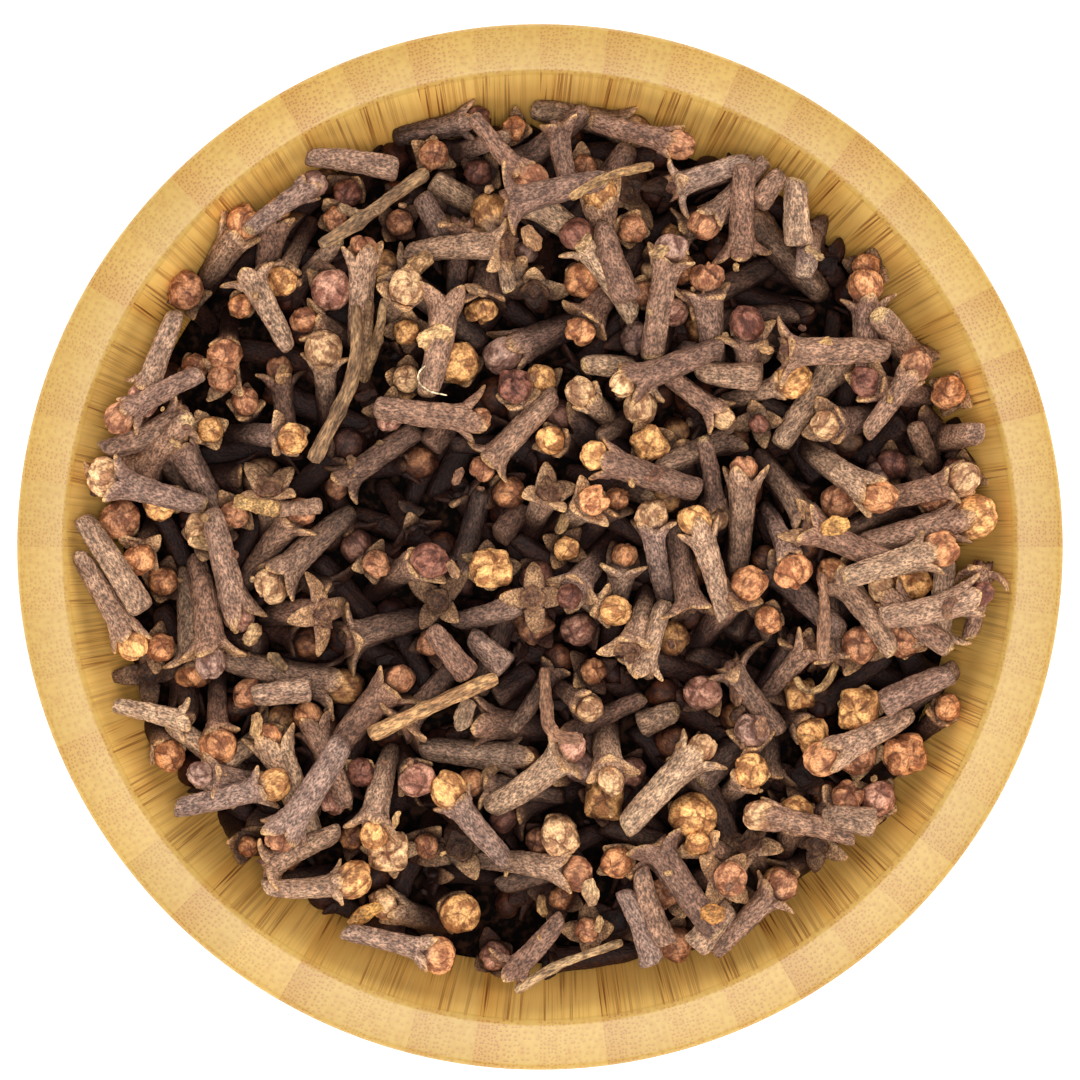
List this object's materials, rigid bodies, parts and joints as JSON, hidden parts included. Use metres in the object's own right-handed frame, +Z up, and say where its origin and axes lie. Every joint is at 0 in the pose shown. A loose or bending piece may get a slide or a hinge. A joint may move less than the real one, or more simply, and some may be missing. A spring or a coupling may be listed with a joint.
{
  "type": "bowl of cloves",
  "caption": "Round turned bamboo bowl with a thick flat rim, heaped a little above the rim with dried whole cloves.",
  "frame": {"origin": "centre of the bowl's foot, on the surface that it stands on", "axes": "+Z up along the bowl's turning axis, through the mouth; +Y is the top of the picture and +X its right"},
  "size_m": [0.125, 0.125, 0.062],
  "materials": {
    "bamboo": "smooth, lightly oiled end grain and upright strips of bamboo",
    "dried_clove": "matte, wrinkled dried bud, from ochre heads to dark brown stems"
  },
  "bodies": {
    "root": {"bowl": "bamboo", "cloves": "dried_clove"}
  },
  "joints": []
}
